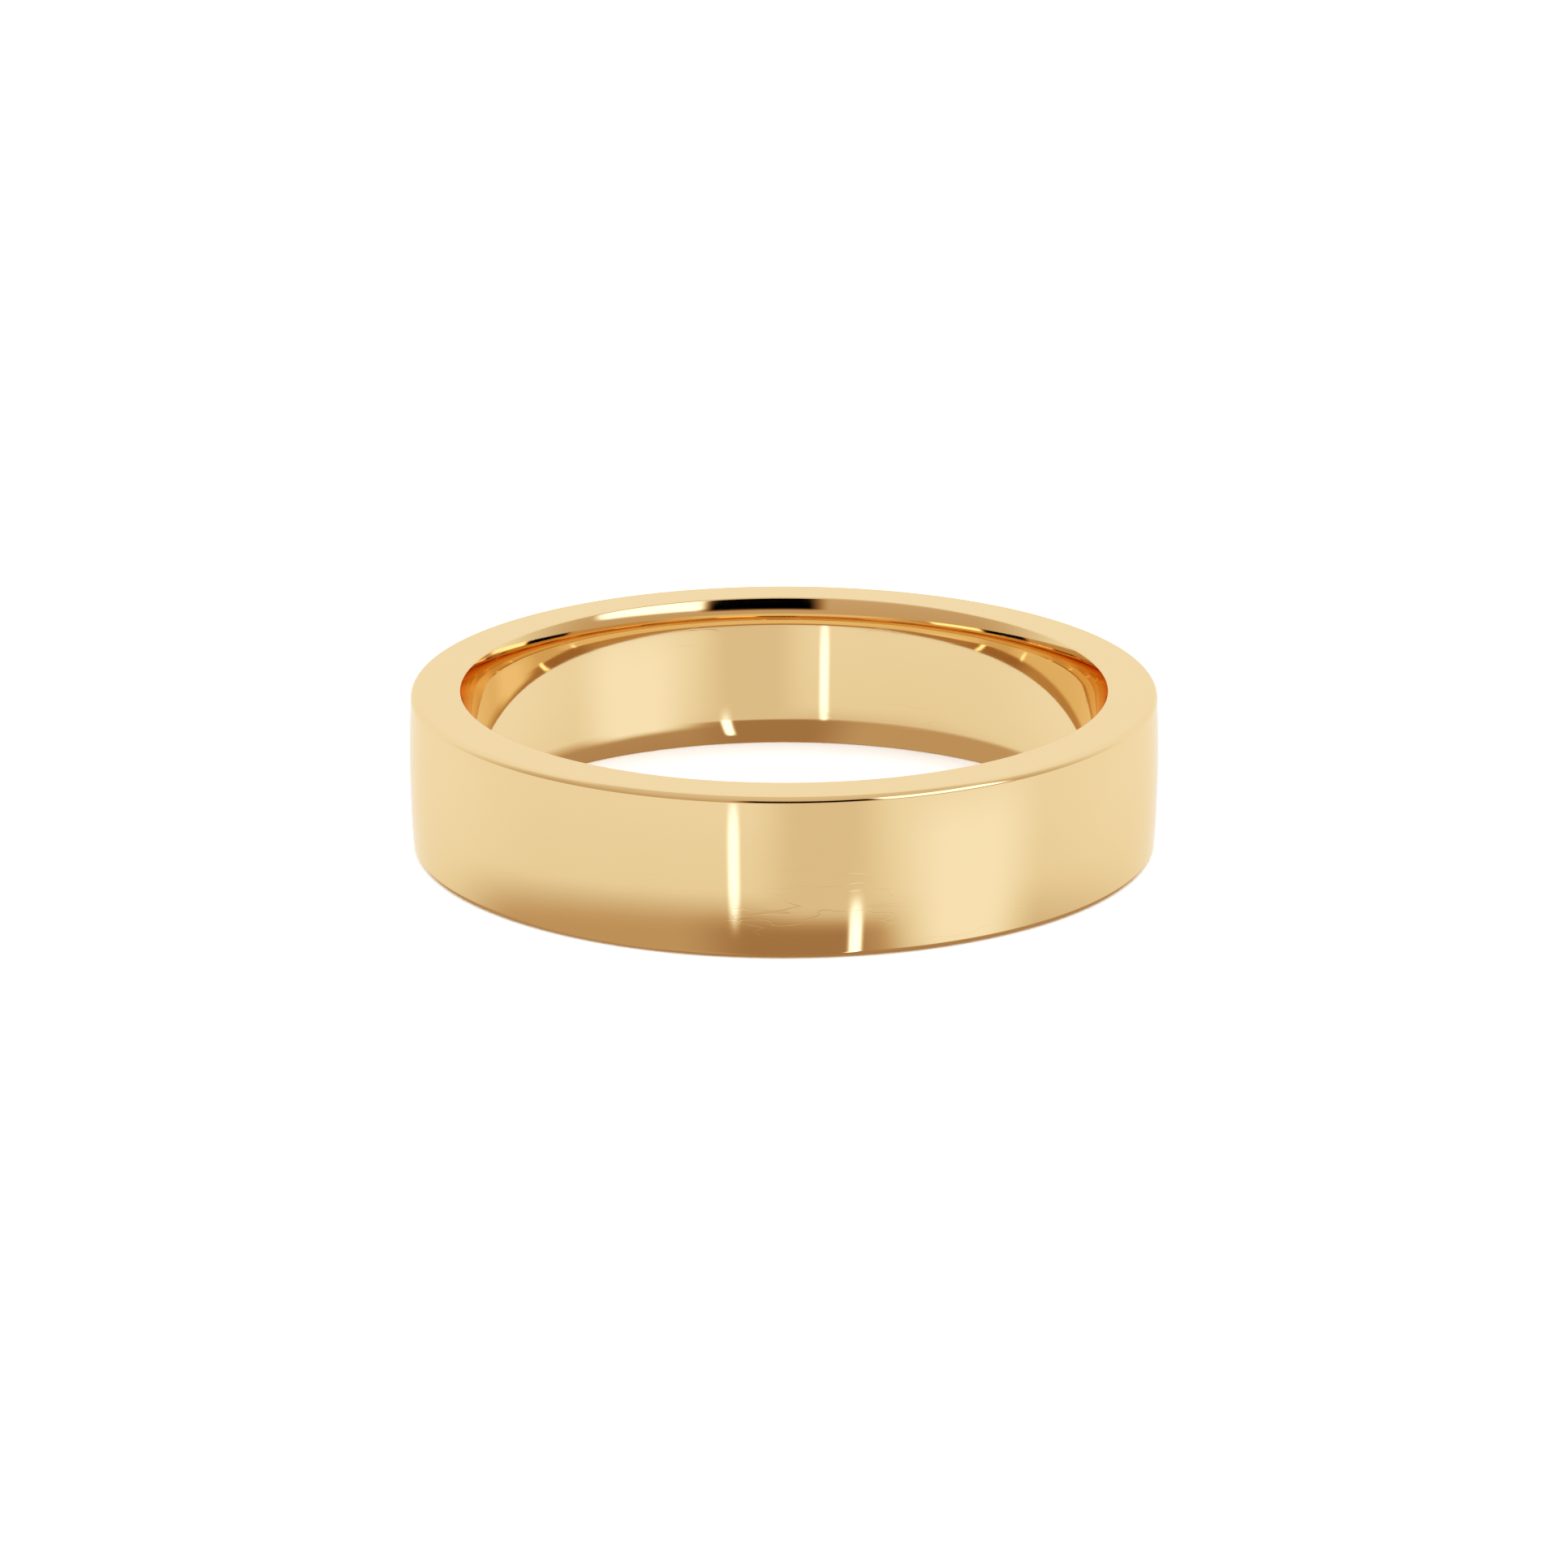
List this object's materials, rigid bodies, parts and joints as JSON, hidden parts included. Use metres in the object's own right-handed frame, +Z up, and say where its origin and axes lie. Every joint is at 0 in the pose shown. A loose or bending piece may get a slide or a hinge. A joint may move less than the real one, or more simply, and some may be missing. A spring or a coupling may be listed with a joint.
{
  "type": "wedding band",
  "caption": "Plain flat wedding band of polished yellow gold with softly rounded edges and a comfort-fit bore, worn on a finger.",
  "frame": {"origin": "centre of the lower side face, on the bore's axis, at the height of the surface that the band lies on", "axes": "+Z up along the bore's axis; the band is round, so +X and +Y are any two directions across it"},
  "size_m": [0.0234, 0.0234, 0.005],
  "materials": {
    "polished_gold": "mirror polish"
  },
  "bodies": {
    "root": {"band": "polished_gold"}
  },
  "joints": []
}
